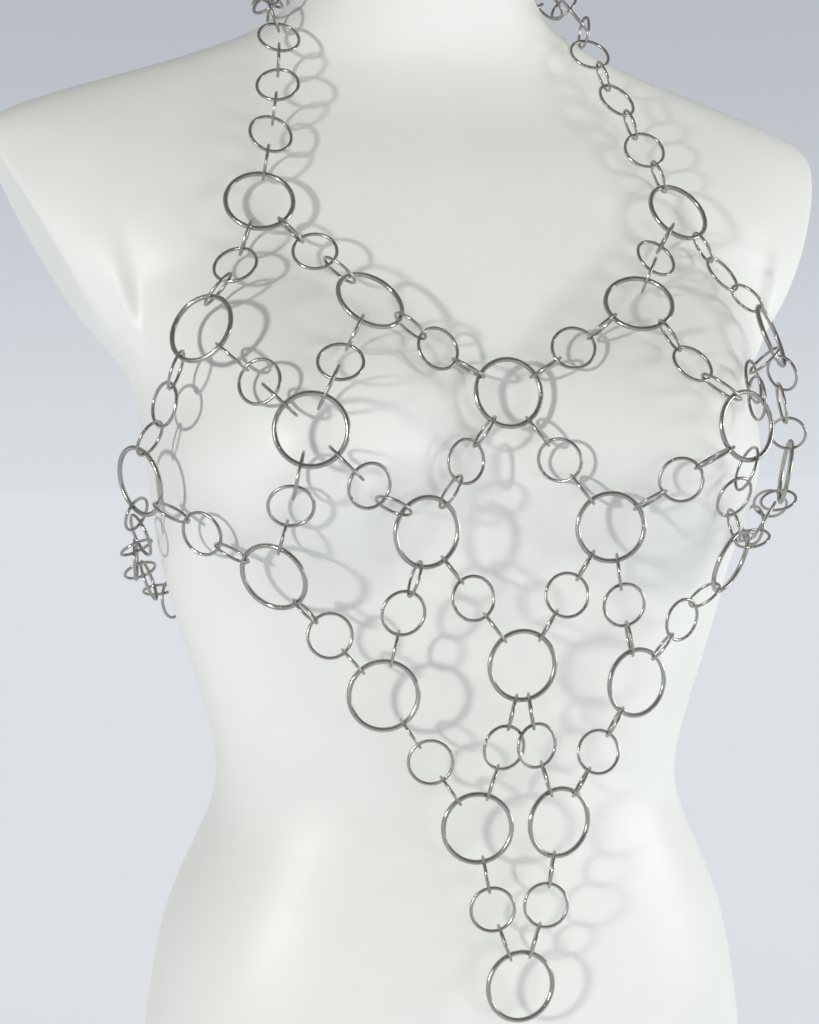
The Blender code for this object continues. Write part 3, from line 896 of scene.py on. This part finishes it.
def buildFloor():
    size = studio["floorSize"] / 2
    steps = studio["floorSteps"]
    mesh = bpy.data.meshes.new("floor")
    marks = np.linspace(-size, size, steps + 1)
    points = [(x, y, -studio["floorDrop"]) for y in marks for x in marks]
    row = steps + 1
    faces = [(j * row + i, j * row + i + 1, (j + 1) * row + i + 1, (j + 1) * row + i)
             for j in range(steps) for i in range(steps)]
    mesh.from_pydata(points, [], faces)
    floor = bpy.data.objects.new("floor", mesh)
    bpy.context.scene.collection.objects.link(floor)
    material = bpy.data.materials.new("paleFloor")
    material.use_nodes = True
    tree = material.node_tree
    shader = tree.nodes["Principled BSDF"]
    shader.inputs["Roughness"].default_value = studio["floorRoughness"]
    where = addNode(tree, "ShaderNodeTexCoord").outputs["Object"]
    far = addNode(tree, "ShaderNodeVectorMath", operation="LENGTH")
    tree.links.new(where, far.inputs[0])
    fade = smoothRange(tree, far.outputs["Value"], *studio["floorBlend"]).outputs["Result"]
    base = colourMix(tree, fade, studio["floorTone"], (0.0, 0.0, 0.0))
    glow = colourMix(tree, fade, studio["floorGlow"], studio["backdropLow"])
    tree.links.new(base, shader.inputs["Base Color"])
    tree.links.new(glow, shader.inputs["Emission Color"])
    shader.inputs["Emission Strength"].default_value = 1.0
    shader.inputs["Specular IOR Level"].default_value = 0.0
    mesh.materials.append(material)


def blendTones(tree, value, low, high, first, second):
    # between two tones as a value goes from low to high
    return colourMix(tree, smoothRange(tree, value, low, high).outputs["Result"], first, second)


def plainBackground(tree, tone):
    background = addNode(tree, "ShaderNodeBackground")
    tree.links.new(tone, background.inputs["Color"])
    return background.outputs["Background"]


def buildWorld():
    world = bpy.data.worlds.new("studio")
    bpy.context.scene.world = world
    world.use_nodes = True
    tree = world.node_tree
    tree.nodes.clear()
    output = addNode(tree, "ShaderNodeOutputWorld")
    direction = addNode(tree, "ShaderNodeSeparateXYZ")
    tree.links.new(addNode(tree, "ShaderNodeTexCoord").outputs["Generated"], direction.inputs["Vector"])
    across, depth, up = (direction.outputs[axis] for axis in "XYZ")
    aside = mathNode(tree, "ABSOLUTE", across, 0.0)
    # what the camera sees: a pale backdrop that darkens upwards
    seen = blendTones(tree, up, *studio["backdropRise"], studio["backdropLow"], studio["backdropHigh"])
    # what lights the object: a room that is darkest on the camera's side and brightest above
    around = blendTones(tree, depth, *studio["ambientTurn"], studio["ambientFront"], studio["ambientBack"])
    ambient = blendTones(tree, up, *studio["ambientRise"], around, studio["ambientTop"])
    # what the rings mirror: a room with a darker front and brighter sides
    ahead = blendTones(tree, depth, *studio["glossTurn"], studio["glossDark"], studio["glossBack"])
    gloss = blendTones(tree, aside, *studio["glossAside"], ahead, studio["glossBright"])
    sight = addNode(tree, "ShaderNodeLightPath")
    surface = plainBackground(tree, ambient)
    for tone, ray in ((gloss, "Is Glossy Ray"), (seen, "Is Camera Ray")):
        choice = addNode(tree, "ShaderNodeMixShader")
        tree.links.new(sight.outputs[ray], choice.inputs["Fac"])
        tree.links.new(surface, choice.inputs[1])
        tree.links.new(plainBackground(tree, tone), choice.inputs[2])
        surface = choice.outputs["Shader"]
    tree.links.new(surface, output.inputs["Surface"])


def placeLight(name, setup):
    data = bpy.data.lights.new(name, "AREA")
    data.shape = "RECTANGLE"
    data.size, data.size_y = setup["size"]
    data.energy = setup["power"]
    data.color = setup["tint"]
    light = bpy.data.objects.new(name, data)
    light.visible_glossy = setup["mirrored"]
    bpy.context.scene.collection.objects.link(light)
    aim = Vector(cameraSetup["target"]) * mm
    back = viewDirection(setup["azimuth"], setup["elevation"])
    light.location = aim + back * setup["distance"]
    light.rotation_euler = (-back).to_track_quat("-Z", "Y").to_euler()


buildFloor()
buildWorld()
for lightName, lightSetup in lights.items():
    placeLight(lightName, lightSetup)
bpy.context.scene.view_settings.view_transform = "Standard"
print("Floor, backdrop and lights placed")
